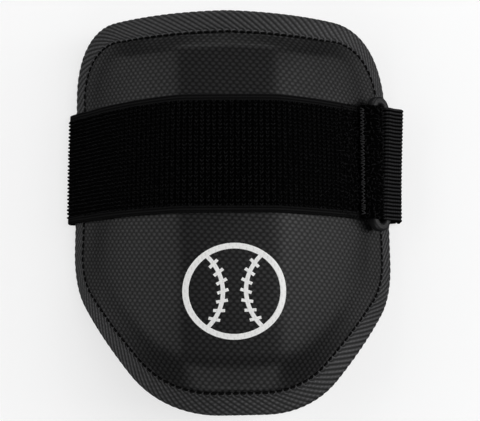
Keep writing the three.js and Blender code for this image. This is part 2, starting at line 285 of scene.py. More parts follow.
def bevel_rise(outline, distance):
    """How far the bevel has climbed, from 0 at the binding to 1 at the raised panel."""
    upward = outline["normals"][:, 1]
    at_end = np.where(upward > 0, BEVEL_AT_TOP, BEVEL_AT_BOTTOM)
    bevel = BEVEL_AT_SIDE + (at_end - BEVEL_AT_SIDE) * np.abs(upward)
    t = np.maximum(distance - outline["reach"] - SEAT_GAP, 0) / bevel
    below = np.sqrt(t**2 + (BEVEL_SOFTNESS / 2) ** 2)
    over = np.sqrt((t - 1) ** 2 + BEVEL_SOFTNESS**2)
    return np.clip((1 + below - over) / 2, 0, 1) * np.clip(t / BEVEL_FOOT, 0, 1)


def bend(flat, height):
    """Flat points, at heights over the shell's inner face, bent into place round the arm."""
    angle = flat[..., 0] / RIM_RADIUS
    r = INNER_RADIUS + height
    sag = (flat[..., 1] - LENGTHWISE_CREST) ** 2 / (2 * LENGTHWISE_RADIUS)
    x = guard_x + r * np.sin(angle)
    z = axis_z + r * np.cos(angle) - sag
    return np.stack([x, guard_y + flat[..., 1], z], axis=-1)


def skin(name, rings, flat=None, closes=False):
    """A closed mesh over rings of points in millimetres. A first and last ring that are each one
    repeated point are its poles, and a skin that closes joins its last ring to its first."""
    rings = np.asarray(rings, dtype=float)
    rows, count = rings.shape[:2]
    rows_of_faces = rows if closes else rows - 1
    k, i = np.meshgrid(np.arange(rows_of_faces), np.arange(count), indexing="ij")
    corner_rows = np.stack([k, k, k + 1, k + 1], axis=-1).reshape(-1, 4)
    corner_columns = np.stack([i, i + 1, i + 1, i], axis=-1).reshape(-1, 4)
    faces = (corner_rows % rows) * count + corner_columns % count
    points = rings.reshape(-1, 3)
    a, b, c, d = (points[faces[:, n]] for n in range(4))
    volume = np.sum(np.cross(a, b) * c) + np.sum(np.cross(a, c) * d)
    order = [0, 1, 2, 3] if volume > 0 else [3, 2, 1, 0]
    faces = faces[:, order]
    mesh = bpy.data.meshes.new(name)
    mesh.from_pydata((points * MM).tolist(), [], faces.tolist())
    if flat is not None:
        values = np.asarray(flat)[corner_rows[:, order], corner_columns[:, order]]
        mesh.uv_layers.new(name="flat").data.foreach_set("uv", values.reshape(-1).astype(np.float32))
    close_poles(mesh)
    mesh.shade_smooth()
    return add_object(name, mesh)


def close_poles(mesh):
    """Welds points that share a place, so that the poles become single points."""
    work = bmesh.new()
    work.from_mesh(mesh)
    bmesh.ops.remove_doubles(work, verts=work.verts, dist=1e-7)
    work.to_mesh(mesh)
    work.free()


class Field:
    """One socket of a material. Python's operators on it add the Math nodes that work them out."""

    def __init__(self, tree, socket=None):
        self.tree = tree
        self.socket = socket

    def node(self, kind, settings, sockets, output=0):
        made = self.tree.nodes.new(kind)
        for name, value in settings.items():
            setattr(made, name, value)
        for key, value in sockets.items():
            if isinstance(value, Field):
                self.tree.links.new(value.socket, made.inputs[key])
            else:
                made.inputs[key].default_value = value
        return Field(self.tree, made.outputs[output])

    def math(self, operation, *values):
        return self.node("ShaderNodeMath", {"operation": operation}, dict(enumerate(values)))

    def __add__(self, other):
        return self.math("ADD", self, other)

    __radd__ = __add__

    def __sub__(self, other):
        return self.math("SUBTRACT", self, other)

    def __rsub__(self, other):
        return self.math("SUBTRACT", other, self)

    def __mul__(self, other):
        return self.math("MULTIPLY", self, other)

    __rmul__ = __mul__

    def __truediv__(self, other):
        return self.math("DIVIDE", self, other)

    def __pow__(self, other):
        return self.math("POWER", self, other)

    def __abs__(self):
        return self.math("ABSOLUTE", self)

    def wave(self):
        """The cosine of a count of half turns."""
        return self.math("COSINE", self * math.pi)

    def smooth(self, low, high):
        """0 below the low value and 1 above the high one."""
        ranges = {"Value": self, "From Min": low, "From Max": high}
        return self.node("ShaderNodeMapRange", {"interpolation_type": "SMOOTHSTEP", "clamp": True}, ranges)


class Finish:
    """A material under way: its principled shader, and the fields that its finish is worked out from."""

    def __init__(self, name, specular, roughness=0.5):
        self.material = bpy.data.materials.new(name)
        self.material.use_nodes = True
        self.field = Field(self.material.node_tree)
        self.shader = self.material.node_tree.nodes["Principled BSDF"]
        self.set("Roughness", roughness)
        self.set("Specular IOR Level", specular)

    def set(self, socket, value):
        if isinstance(value, Field):
            self.field.tree.links.new(value.socket, self.shader.inputs[socket])
        else:
            self.shader.inputs[socket].default_value = value

    def flat(self):
        """Distances in millimetres along and across the laid-out cloth."""
        vector = self.field.node("ShaderNodeUVMap", {"uv_map": "flat"}, {})
        return [self.field.node("ShaderNodeSeparateXYZ", {}, {"Vector": vector}, k) for k in (0, 1)]

    def noise(self, size, detail=2.0):
        """Smooth random values from 0 to 1, with lumps of about a size in millimetres."""
        place = self.field.node("ShaderNodeTexCoord", {}, {}, 3)
        sockets = {"Vector": place, "Scale": 1 / (size * MM), "Detail": detail}
        return self.field.node("ShaderNodeTexNoise", {}, sockets)

    def colour(self, share, first, second):
        """Colours it between two, by a share from 0 to 1."""
        sockets = {0: share, 6: first, 7: second}
        self.set("Base Color", self.field.node("ShaderNodeMix", {"data_type": "RGBA"}, sockets, 2))

    def relief(self, height, depth, below=None):
        """A bumped normal, for a height from 0 to 1 over a depth in millimetres."""
        sockets = {"Height": height, "Distance": depth * MM, "Strength": 1.0}
        if below is not None:
            sockets["Normal"] = below
        return self.field.node("ShaderNodeBump", {}, sockets)


def plain_weave(u, v):
    """Height of a plain weave, from 0 in its pits to 1 on its floats. The two are the squares of the
    chessboard that u and v count, with a low ridge along each weft yarn. The weft leans a little."""
    leaning = v + 0.06 * u
    return (0.5 + 0.45 * u.wave() * leaning.wave() + 0.14 * (2 * leaning).wave()).smooth(-0.15, 1.0)


def ride_and_replace(piece, slot, *nodes):
    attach(piece, ROOT)
    if nodes:
        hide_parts(*nodes)


def cover_unevenness(flat):
    """Small swells of the foam under the stretched cover."""
    x, y = flat[..., 0], flat[..., 1]
    swell = np.sin(x / 9.1 + 0.7 * np.sin(y / 17.3)) * np.sin(y / 11.9 + 1.3)
    return 0.10 * swell + 0.06 * np.sin(x / 4.7 - y / 6.3)


def shell_surface(outline, distance, share=1.0):
    """Flat places and thickness of the shell along the outline drawn in by a distance. Beside the
    binding the foam swells up to the height of the tape."""
    flat = drawn_in(outline, distance, share)
    rise = bevel_rise(outline, distance) if share == 1 else 1.0
    panel = panel_thickness(flat[:, 0] / RIM_RADIUS)
    swell = FOAM_SWELL * (distance > outline["reach"] + TOUCHING)
    return flat, RIM_THICKNESS + swell + (panel - RIM_THICKNESS - swell + cover_unevenness(flat)) * rise


shell_outline = flat_outline(720)
to_binding = shell_outline["reach"] + SEAT_GAP
edge_inset = SEAT_GAP + TAPE_THICKNESS
widest_bevel = max(BEVEL_AT_TOP, BEVEL_AT_SIDE, BEVEL_AT_BOTTOM)
rings, flats = [], []


def add_ring(flat, height):
    rings.append(bend(flat, height))
    flats.append(np.concatenate([flat, flat[:1]]))


nowhere = np.zeros_like(shell_outline["points"])
add_ring(nowhere, panel_thickness(np.zeros(1)))
for share in np.linspace(0.04, 0.97, 25):
    add_ring(*shell_surface(shell_outline, to_binding + widest_bevel, share))
for climbed in np.linspace(1, 0, 16):
    add_ring(*shell_surface(shell_outline, to_binding + widest_bevel * climbed))
for beside in (0.1, 0.02, -0.01):
    add_ring(*shell_surface(shell_outline, shell_outline["reach"] + TOUCHING + beside))
for distance in (to_binding - 3, edge_inset + RIM_CORNER):
    add_ring(drawn_in(shell_outline, distance), RIM_THICKNESS)
for height in (RIM_THICKNESS - RIM_CORNER, RIM_CORNER):
    add_ring(drawn_in(shell_outline, edge_inset), height)
for distance in (edge_inset + RIM_CORNER, to_binding):
    add_ring(drawn_in(shell_outline, distance), 0.0)
for share in np.linspace(0.96, 0.06, 12):
    add_ring(drawn_in(shell_outline, to_binding, share), 0.0)
add_ring(nowhere, 0.0)
shell = skin("shell_cover", rings, flats)

cover = Finish("woven_nylon", roughness=0.6, specular=0.1)
along, across = cover.flat()
yarns = plain_weave(along / WARP_PITCH, across / WEFT_PITCH)
# The floats are paler than the pits, whose darkness is painted shade between the yarns, and they carry most
# of the cover's gloss.
painted_light_and_patches = yarns**1.7 * (0.6 + 0.8 * cover.noise(FADED_PATCH))
cover.colour(painted_light_and_patches, COVER_DARK, COVER_LIGHT)
cover.set("Coat Weight", 0.3 + 0.7 * painted_light_and_patches)
cover.set("Coat Roughness", 0.42)
cover.set("Coat IOR", 1.3)
cover.set("Normal", cover.relief(yarns, WEAVE_RELIEF, cover.relief(cover.noise(YARN_FUZZ), 0.02)))
shell.data.materials.append(cover.material)
ride_and_replace(shell, "woven_cover", "shell")

# Edge binding
# A strip of the same nylon, cut on the bias so that its yarns cross it as ribs, folded over the rim
# and sewn through both legs along its inner edge. Each stitch pulls a small hollow into that edge.
TAPE_ROUNDNESS = 0.72
RIB_PITCH = 1.95
RIB_DEGREES = 34.0
RIB_HEIGHT = 0.46
STITCH_PITCH = 3.5
STITCH_HOLLOW = 2.5  # the hollow's length along the tape's edge
STITCH_WIDE = 1.1  # its width
STITCH_PULL = 0.3  # its depth
STITCH_REACH = 1.6  # how far from the edge the tape is pulled down
TAPE_COLUMNS = 1250
TAPE_DARK = (0.0022, 0.0022, 0.0023, 1)
TAPE_LIGHT = (0.0552, 0.0552, 0.0574, 1)


def tape_fold(inset):
    """The rounded fold of the tape as distances in from the edge and heights, from the outer leg on."""
    top = RIM_THICKNESS + SEAT_GAP + TAPE_THICKNESS
    bottom = -SEAT_GAP - TAPE_THICKNESS
    half_height = (top - bottom) / 2
    radius = max(TAPE_ROUNDNESS * half_height - inset, 0.2)
    straight = half_height - inset - radius
    quarter = np.radians(np.linspace(0, 90, 7))
    up = radius * np.cos(quarter) + straight
    distance = inset + radius * (1 - np.sin(quarter))
    middle = (top + bottom) / 2
    upper = np.stack([distance, middle + up], axis=1)
    lower = np.stack([distance, middle - up], axis=1)[::-1]
    return np.concatenate([upper, lower])


tape_outline = flat_outline(TAPE_COLUMNS)
tape_length = tape_outline["places"][-1]
drawn_over = tape_outline["reach"] / TAPE_REACH
outer_fold = tape_fold(0.0)
leg_top = np.array([[TAPE_REACH, outer_fold[0, 1]]])
leg_bottom = np.array([[TAPE_REACH, outer_fold[-1, 1]]])
outside, outside_places = resample(np.concatenate([leg_top, outer_fold, leg_bottom]), 62)
inner_fold = tape_fold(TAPE_THICKNESS)[::-2]
inside_top = np.array([[TAPE_REACH, inner_fold[-1, 1]]])
inside_bottom = np.array([[TAPE_REACH, inner_fold[0, 1]]])

away = right_of(np.gradient(outside, axis=0))
from_inside = outside - [TAPE_REACH, outside[:, 1].mean()]
away *= np.where(np.sum(away * from_inside, axis=1) < 0, -1, 1)[:, None]

# The angle of the ribs is set so that a whole number of them fits round the tape.
rib_count = round(tape_length * math.sin(math.radians(RIB_DEGREES)) / RIB_PITCH)
rib_sine = rib_count * RIB_PITCH / tape_length
rib_cosine = math.sqrt(1 - rib_sine**2)
stitch_count = round(tape_length / STITCH_PITCH)
stitch_pitch = tape_length / stitch_count


def along_tape(place):
    """The tape's laid-out places round the guard, all at one distance across it."""
    return np.stack([tape_outline["places"], np.full(TAPE_COLUMNS + 1, place)], axis=1)


rings, flats = [], []
columns = tape_outline["places"][:-1]
from_stitch = (columns % stitch_pitch - stitch_pitch / 2) / (STITCH_HOLLOW / 2)
hollow = np.sqrt(np.clip(1 - from_stitch**2, 0, 1))
for (distance, height), place, direction in zip(outside, outside_places, away):
    phase = (columns * rib_sine - place * rib_cosine) / RIB_PITCH
    crossing = (columns * rib_sine + place * rib_cosine) / RIB_PITCH
    crest = 1 - np.abs(2 * (phase % 1) - 1) ** 2
    bead = 0.5 + 0.5 * np.cos(2 * np.pi * crossing)
    from_edge = min(place, outside_places[-1] - place)
    near_edge = math.exp(-((from_edge / STITCH_REACH) ** 2))
    raised = RIB_HEIGHT * (crest * (0.86 + 0.14 * bead) - 0.6) * min(1, from_edge / 0.8)
    raised = raised - STITCH_PULL * hollow * near_edge
    receding = STITCH_WIDE * hollow * near_edge
    flat = drawn_in(tape_outline, distance * drawn_over + raised * direction[0] - receding)
    rings.append(bend(flat, height + raised * direction[1]))
    flats.append(along_tape(place))
for distance, height in np.concatenate([inside_bottom, inner_fold, inside_top]):
    receding = STITCH_WIDE * hollow * (distance == TAPE_REACH)
    rings.append(bend(drawn_in(tape_outline, distance * drawn_over - receding), height))
    flats.append(along_tape(outside_places[-1] + 5))
flats.append(flats[0])
binding = skin("bound_edge", rings, flats, closes=True)

tape = Finish("bias_tape", specular=0.3)
along, across = tape.flat()
ribs = (along * rib_sine - across * rib_cosine) / RIB_PITCH
crossing = (along * rib_sine + across * rib_cosine) / RIB_PITCH
rib_crest = 0.5 - 0.5 * (2 * ribs).wave()
beads = 0.5 + 0.5 * (2 * crossing).wave()
round_end = ((along * (2 / tape_length) - 1) ** 2.0).smooth(0.62, 0.86)
# The rib crests are pale. The grooves between ribs and the dips between beads along them are painted shade,
# deeper near the guard's lower end. The random paler and darker patches are the cloth's own.
painted_light_and_patches = rib_crest * (1 - (0.25 + 0.45 * round_end) * (1 - beads)) * (0.65 + 0.7 * tape.noise(FADED_PATCH))
tape.colour(painted_light_and_patches, TAPE_DARK, TAPE_LIGHT)
tape.set("Roughness", 0.66 - 0.2 * painted_light_and_patches)
tape.set("Normal", tape.relief(beads * rib_crest, 0.09, tape.relief(tape.noise(YARN_FUZZ), 0.03)))
binding.data.materials.append(tape.material)
ride_and_replace(binding, "binding_tape", "edge_binding")

# Binding stitches
# Bonded black thread in a row of lockstitches through the inner edge of each leg of the tape.
# Each stitch fills the hollow that it pulls into that edge, as a low dark oval.
THREAD = 1.0
THREAD_SUNK = 0.3  # below the face of the tape's leg
THREAD_ARCH = 0.3
THREAD_COLOUR = (0.0008, 0.0008, 0.0008, 1)


def yarn_arch_tree(name):
    """Geometry nodes that set one arch of yarn on each point, turned and sized by its attributes."""
    tree = bpy.data.node_groups.new(name, "GeometryNodeTree")
    kinds = {"Geometry": "Geometry", "Span": "Float", "Height": "Float", "Yarn Radius": "Float",
             "Fullness": "Float", "Steps": "Int", "Sides": "Int", "Finish": "Material"}
    for label, kind in kinds.items():
        tree.interface.new_socket(label, in_out="INPUT", socket_type=f"NodeSocket{kind}")
    tree.interface.new_socket("Geometry", in_out="OUTPUT", socket_type="NodeSocketGeometry")
    given = tree.nodes.new("NodeGroupInput").outputs

    def node(kind, settings, sockets):
        made = tree.nodes.new(kind)
        for key, value in settings.items():
            setattr(made, key, value)
        for key, value in sockets.items():
            if isinstance(value, bpy.types.NodeSocket):
                tree.links.new(value, made.inputs[key])
            else:
                made.inputs[key].default_value = value
        return made.outputs[0]

    def scaled(value, factor):
        return node("ShaderNodeMath", {"operation": "MULTIPLY"}, {0: value, 1: factor})

    def corner(x, z):
        return node("ShaderNodeCombineXYZ", {}, {0: x, 2: z})

    span = given["Span"]
    swell = scaled(span, given["Fullness"])
    top = scaled(given["Height"], 4 / 3)
    arch = node("GeometryNodeCurvePrimitiveBezierSegment", {"mode": "POSITION"}, {
        "Resolution": given["Steps"],
        "Start": corner(scaled(span, -0.5), 0.0),
        "Start Handle": corner(scaled(swell, -0.5), top),
        "End Handle": corner(scaled(swell, 0.5), top),
        "End": corner(scaled(span, 0.5), 0.0),
    })
    round_yarn = node("GeometryNodeCurvePrimitiveCircle", {"mode": "RADIUS"}, {
        "Resolution": given["Sides"],
        "Radius": given["Yarn Radius"],
    })
    tube = node("GeometryNodeCurveToMesh", {}, {
        "Curve": arch,
        "Profile Curve": round_yarn,
        "Fill Caps": True,
    })
    turn_of = node("GeometryNodeInputNamedAttribute", {"data_type": "FLOAT_VECTOR"}, {"Name": "turn"})
    size_of = node("GeometryNodeInputNamedAttribute", {"data_type": "FLOAT"}, {"Name": "size"})
    placed = node("GeometryNodeInstanceOnPoints", {}, {
        "Points": given["Geometry"],
        "Instance": tube,
        "Rotation": node("FunctionNodeEulerToRotation", {}, {0: turn_of}),
        "Scale": size_of,
    })
    real = node("GeometryNodeRealizeInstances", {}, {"Geometry": placed})
    smooth = node("GeometryNodeSetShadeSmooth", {}, {"Geometry": real})
    coloured = node("GeometryNodeSetMaterial", {}, {"Geometry": smooth, "Material": given["Finish"]})
    tree.links.new(coloured, tree.nodes.new("NodeGroupOutput").inputs[0])
    return tree


yarn_arches = yarn_arch_tree("yarn_arches")


def yarn_row(name, places, alongs, normals, sizes, finish, span, height, yarn, fullness, steps, sides):
    """Arches of yarn at places in millimetres, each along its own direction and standing on its normal."""
    z_axes = unit(normals)
    y_axes = unit(np.cross(z_axes, alongs))
    x_axes = np.cross(y_axes, z_axes)
    turns = [Matrix(axes).to_euler()[:] for axes in np.stack([x_axes, y_axes, z_axes], axis=2).tolist()]
    mesh = bpy.data.meshes.new(name)
    mesh.from_pydata((places * MM).tolist(), [], [])
    turn_layer = mesh.attributes.new("turn", "FLOAT_VECTOR", "POINT")
    turn_layer.data.foreach_set("vector", np.array(turns).reshape(-1))
    size_layer = mesh.attributes.new("size", "FLOAT", "POINT")
    size_layer.data.foreach_set("value", sizes)
    piece = add_object(name, mesh)
    modifier = piece.modifiers.new("yarns", "NODES")
    modifier.node_group = yarn_arches
    values = {
        "Span": span * MM,
        "Height": height * MM,
        "Yarn Radius": yarn / 2 * MM,
        "Fullness": fullness,
        "Steps": steps,
        "Sides": sides,
        "Finish": finish.material,
    }
    for item in yarn_arches.interface.items_tree:
        if item.in_out == "INPUT" and item.name in values:
            modifier[item.identifier] = values[item.name]
    seen = piece.evaluated_get(bpy.context.evaluated_depsgraph_get())
    solid = bpy.data.meshes.new_from_object(seen)
    piece.modifiers.remove(modifier)
    piece.data = solid
    return piece


def thread_finish(name, colour, twist=0.5):
    """Twisted thread: fine random fuzz, paler and darker, over one colour."""
    finish = Finish(name, roughness=0.7, specular=0.08)
    fuzz = finish.noise(twist)
    darker = tuple(0.45 * c for c in colour[:3]) + (1,)
    finish.colour(fuzz, darker, colour)
    finish.set("Normal", finish.relief(fuzz, 0.08))
    return finish


black_thread = thread_finish("black_thread", THREAD_COLOUR)
seam_line = drawn_in(tape_outline, tape_outline["reach"] - STITCH_WIDE / 2)
seam_line = np.concatenate([seam_line, seam_line[:1]])


def on_seam(places, height):
    """Places along the seam, at heights over the shell's inner face."""
    return bend(at_places(places % tape_length, tape_outline["places"], seam_line), height)


steps_along = (np.arange(stitch_count) + 0.5) * stitch_pitch
for leg, sign, leg_height in (("face", 1, outer_fold[0, 1]), ("inside", -1, outer_fold[-1, 1])):
    sunk = leg_height - sign * THREAD_SUNK
    middle = on_seam(steps_along, sunk)
    alongs = on_seam(steps_along + 0.5, sunk) - on_seam(steps_along - 0.5, sunk)
    normals = on_seam(steps_along, sunk + sign) - middle
    stitches = yarn_row(
        f"binding_stitches_{leg}", middle, alongs, normals, np.ones(stitch_count), black_thread,
        span=STITCH_HOLLOW - THREAD / 2, height=THREAD_ARCH, yarn=THREAD, fullness=0.8, steps=5, sides=6,
    )
    ride_and_replace(stitches, "binding_tape")

# Panel print
# A plain ball-and-seam emblem in raised white print on the lower half of the panel.
# The ink is thick enough to stand a little over the weave, which shows through it as relief, with painted
# shade in its pits.
PRINT_AT = (1.7, -33.9)
BALL_RADIUS = 19.0
RING_LINE = 2.4
SEAM_LINE = 1.7
SEAM_BULGE = 21.0
SEAM_OFFSET = 25.5
TICK_LENGTH = 4.6
TICK_LINE = 1.3
PRINT_HEIGHT = 0.3
PRINT_LOW = (0.62, 0.62, 0.61, 1)
PRINT_HIGH = (0.87, 0.87, 0.86, 1)


def on_panel(flat, lift):
    """Places over the raised panel, in bent millimetres."""
    thickness = panel_thickness(flat[..., 0] / RIM_RADIUS) + cover_unevenness(flat)
    return bend(flat, thickness + lift)


def stroke(points, width, closed=False):
    """One printed line as a low closed strip over the panel: vertices, faces and flat places."""
    points = np.asarray(points, dtype=float)
    count = len(points)
    ahead = np.gradient(points, axis=0)
    if closed:
        ahead = np.roll(points, -1, axis=0) - np.roll(points, 1, axis=0)
    sideways = right_of(ahead)
    section = [(-0.5, -0.1), (-0.5, 0.6), (-0.42, 1.0), (0.42, 1.0), (0.5, 0.6), (0.5, -0.1)]
    flat = np.stack([points + sideways * width * share for share, _ in section], axis=1)
    lifts = np.array([PRINT_HEIGHT * lift for _, lift in section])
    vertices = on_panel(flat, lifts[None, :]).reshape(-1, 3)
    size = len(section)
    faces = []
    for i in range(count if closed else count - 1):
        j = (i + 1) % count
        faces += [(i * size + k, i * size + (k + 1) % size, j * size + (k + 1) % size, j * size + k)
                  for k in range(size)]
    if not closed:
        faces += [tuple(range(size))[::-1], tuple((count - 1) * size + k for k in range(size))]
    return vertices, faces, flat.reshape(-1, 2)


centre = np.array(PRINT_AT)
round_turn = np.linspace(0, 2 * np.pi, 121)[:-1]
ball = centre + BALL_RADIUS * np.stack([np.cos(round_turn), np.sin(round_turn)], axis=1)
strokes = [stroke(ball, RING_LINE, True)]
for side in (-1, 1):
    seam_centre = centre + [side * SEAM_OFFSET, 0]
    reach = math.acos((SEAM_OFFSET**2 + SEAM_BULGE**2 - BALL_RADIUS**2) / (2 * SEAM_OFFSET * SEAM_BULGE))
    seam_turn = np.linspace(-reach, reach, 41) * 0.97
    arc = seam_centre + SEAM_BULGE * np.stack([-side * np.cos(seam_turn), np.sin(seam_turn)], axis=1)
    strokes.append(stroke(arc, SEAM_LINE))
    for turned in np.linspace(-reach, reach, 9)[1:-1] * 0.95:
        radial = np.array([-side * math.cos(turned), math.sin(turned)])
        slant = np.array([radial[0], radial[1] + 0.35])
        foot = seam_centre + SEAM_BULGE * radial
        ends = np.linspace(-0.5, 0.5, 5)[:, None] * TICK_LENGTH * slant / np.linalg.norm(slant)
        strokes.append(stroke(foot + ends, TICK_LINE))
vertices, faces, flats = [], [], []
for made_vertices, made_faces, made_flat in strokes:
    faces += [tuple(v + len(vertices) for v in face) for face in made_faces]
    vertices += (made_vertices * MM).tolist()
    flats += made_flat.tolist()
print_mesh = bpy.data.meshes.new("panel_print")
print_mesh.from_pydata(vertices, [], faces)
corners = np.zeros(len(print_mesh.loops), dtype=np.int32)
print_mesh.loops.foreach_get("vertex_index", corners)
print_layer = print_mesh.uv_layers.new(name="flat")
print_layer.data.foreach_set("uv", np.array(flats)[corners].reshape(-1).astype(np.float32))
panel_print = add_object("panel_print", print_mesh)

ink = Finish("white_print", roughness=0.45, specular=0.4)
along, across = ink.flat()
yarns = plain_weave(along / WARP_PITCH, across / WEFT_PITCH)
# The ink is darker in the weave's pits: painted shade between the yarns.
ink.colour(yarns.smooth(0.0, 0.4), PRINT_LOW, PRINT_HIGH)
ink.set("Normal", ink.relief(yarns, 0.08))
panel_print.data.materials.append(ink.material)
ride_and_replace(panel_print, "woven_cover")

# Strap
# Two-inch loop-faced elastic. It starts at its sewn end over the ring's near bar, crosses the face,
# passes under the arm, comes up through the ring and folds back over the far bar to its hooked end.
STRAP_WIDTH = 50.8
STRAP_THICKNESS = 1.6
STRAP_CENTRE = 24.4
STRAP_SLANT = -0.85
SEWN_END_FROM_RING = 6.7
SIDE_CLEARANCE = 0.7
FLOOR_BEND = 3.6
TAIL_END = 2.4
LONGEST_STEP = 4.0  # between the mesh's rows along the strap
RING_OFFSET = 4.4
RING_THICKNESS = 4.2
RING_BAR = 3.6
RING_END_CLEARANCE = 1.4
RING_ROUNDING = 1.1
RING_SLOT = 2 * STRAP_THICKNESS + 3 * SEAT_GAP + RING_ROUNDING
PATCH_THICKNESS = 1.2
PATCH_TOP = 11.6
SELVEDGE = 2.9
CORD_PITCH = 1.2  # of the selvedges' lengthwise cords
PICK_PITCH = 1.1  # of the weft along the strap
BACK_RIB_PITCH = 1.65
BACK_RIB_HEIGHT = 0.4
BACK_SHIFT = 200.0  # added to the places across the strap on its back, to tell it from the face
TAIL_LEAN = 2.4
OFF_TABLE = 0.02  # the least height of the strap over the table
SETTLING = 14.0  # along the strap, in which it settles onto the guard's bend
EDGE_ROUNDING = 0.35
ELASTIC_DARK = (0.0002, 0.0002, 0.0002, 1)
ELASTIC_LIGHT = (0.035, 0.035, 0.036, 1)

half_strap = STRAP_THICKNESS / 2
seated = SEAT_GAP + half_strap
ring_low, ring_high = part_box("strap_ring")
ring_x = (ring_low[0] + ring_high[0]) / 2 / MM
ring_z = (ring_low[2] + ring_high[2]) / 2 / MM
strap_y = guard_y + STRAP_CENTRE
slant = math.radians(STRAP_SLANT)


def in_strap_plane(x, y, z):
    """Turns places across the strap's plane, given from the guard's middle line, into the frame."""
    return np.stack([
        guard_x + x * math.cos(slant) - y * math.sin(slant),
        strap_y + x * math.sin(slant) + y * math.cos(slant),
        z,
    ], axis=-1)


# The ring's middle is slanted with the strap, so its distance from the middle line is measured back.
ring_aside = (ring_x - guard_x) / math.cos(slant)
ring_out = math.hypot(ring_aside, ring_z - axis_z)
ring_angle = math.atan2(ring_aside, ring_z - axis_z) - math.asin(RING_OFFSET / ring_out)
ring_middle_out = math.sqrt(ring_out**2 - RING_OFFSET**2)

# The strap goes round the bound edge just inside the patch of hook tape that its free end carries.
patch_low, patch_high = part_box("hook_patch")
patch_aside = ((patch_low[0] + patch_high[0]) / 2 / MM - guard_x) / math.cos(slant)
side_x = patch_aside - PATCH_THICKNESS / 2 - SEAT_GAP - half_strap
widest_edge = math.asin((side_x - half_strap - SIDE_CLEARANCE) / RIM_RADIUS)
beside_strap = np.abs(tape_outline["points"][:, 1] - STRAP_CENTRE) < STRAP_WIDTH / 2 + 1.3
narrowest_edge = (np.abs(tape_outline["points"][beside_strap, 0]) / RIM_RADIUS).min()
bound_from = narrowest_edge - (TAPE_REACH + 2 * SEAT_GAP) / RIM_RADIUS


def on_face(angle, height):
    """A place over the guard's outside in the strap's plane."""
    outside_radius = RIM_RADIUS if abs(angle) > bound_from else INNER_RADIUS + float(panel_thickness(angle))
    slack = STRAP_WIDTH / 2 * math.sin(abs(slant)) * abs(math.sin(angle))
    r = outside_radius + height + slack
    return np.array([r * math.sin(angle), axis_z + r * math.cos(angle)])


def at_ring(along, out):
    """A place in the strap's plane, given along the ring's face and out from the bend's axis."""
    outward = np.array([math.sin(ring_angle), math.cos(ring_angle)])
    face = np.array([outward[1], -outward[0]])
    return np.array([0, axis_z]) + outward * out + face * along


above = ring_middle_out + RING_THICKNESS / 2 + seated
below = ring_middle_out - RING_THICKNESS / 2 - seated
near_bar = RING_OFFSET - RING_SLOT / 2
far_bar = RING_OFFSET + RING_SLOT / 2
tail_x = side_x + STRAP_THICKNESS + PATCH_THICKNESS + 2 * SEAT_GAP
under_ring = ring_angle - math.atan2(RING_BAR - near_bar, below)
strap_corners = [
    (on_face(ring_angle - SEWN_END_FROM_RING / RIM_RADIUS, seated + STRAP_THICKNESS + SEAT_GAP), 0),
    (at_ring(near_bar - RING_BAR, above), 4),
    (at_ring(near_bar + seated, above), seated),
    (at_ring(near_bar + seated, below), seated),
    *((on_face(angle, seated), 6) for angle in np.linspace(under_ring, -widest_edge, 60)),
    (np.array([-side_x, axis_z + RIM_RADIUS * math.cos(widest_edge)]), 2),
    (np.array([-side_x, half_strap]), FLOOR_BEND),
    (np.array([side_x, half_strap]), FLOOR_BEND),
    (np.array([side_x, PATCH_TOP]), 4),
    (at_ring(far_bar + RING_BAR, below), 4),
    (at_ring(far_bar - seated, below), seated),
    (at_ring(far_bar - seated, above), seated),
    (at_ring(far_bar + RING_BAR, above), 4),
    (np.array([tail_x, PATCH_TOP + RING_THICKNESS]), 4),
    (np.array([tail_x, TAIL_END]), 0),
]
line = [strap_corners[0][0]]
for i in range(1, len(strap_corners) - 1):
    corner, radius = strap_corners[i]
    before = strap_corners[0][0] if i == 1 else (strap_corners[i - 1][0] + corner) / 2
    line += fillet(before, corner, (strap_corners[i + 1][0] + corner) / 2, radius, 12.0)
line.append(strap_corners[-1][0])
line = np.array([p for k, p in enumerate(line) if k == 0 or np.linalg.norm(p - line[k - 1]) > 0.02])
line_places = distances_along(line)
strap_places = [
    np.linspace(a, b, max(2, math.ceil((b - a) / LONGEST_STEP) + 1))[:-1]
    for a, b in zip(line_places, line_places[1:])
]
strap_places = np.append(np.concatenate(strap_places), line_places[-1])


def strap_line(places):
    """Middle of the strap at distances along it, and the direction that its loops face."""
    ahead = at_places(places + 0.12, line_places, line) - at_places(places - 0.12, line_places, line)
    return at_places(places, line_places, line), right_of(ahead)


def place_of(point):
    return line_places[np.argmin(np.linalg.norm(line - point, axis=1))]


face_start = place_of(on_face(under_ring, seated))
face_end = place_of(on_face(-widest_edge, seated))
far_bar_place = place_of(at_ring(far_bar - seated, below))
fold_end = place_of(at_ring(near_bar + seated, above + half_strap))
patch_half = (patch_high[1] - patch_low[1]) / 2 / MM


def strap_surface(places, widths, lift):
    """Places on the strap, at a lift from its middle line towards its loops. On the face it settles
    onto the bend of the guard, which falls away towards the upper end, and past the ends of the patch
    its two layers close up."""
    middle, loop_side = strap_line(places)
    onto = np.clip((places - face_start) / SETTLING, 0, 1) * np.clip((face_end + 6 - places) / SETTLING, 0, 1)
    sag = (STRAP_CENTRE + widths - LENGTHWISE_CREST) ** 2 / (2 * LENGTHWISE_RADIUS)
    offset = (lift - sag * onto)[:, None] * loop_side
    x = middle[:, 0] + offset[:, 0]
    z = np.maximum(middle[:, 1] + offset[:, 1], OFF_TABLE)
    on_tail = np.clip((places - far_bar_place) / 6, 0, 1) * np.clip((z - PATCH_TOP) / 3, 0, 1)
    rising = (places < far_bar_place) * np.clip(middle[:, 0] - side_x + 1, 0, 1)
    past_patch = np.clip((np.abs(widths) - patch_half) / PATCH_THICKNESS, 0, 1)
    x = x + rising * np.clip(z / 2 - 1, 0, 1) * past_patch * (PATCH_THICKNESS + SEAT_GAP)
    return in_strap_plane(x + widths * math.tan(math.radians(TAIL_LEAN)) * on_tail, widths, z)


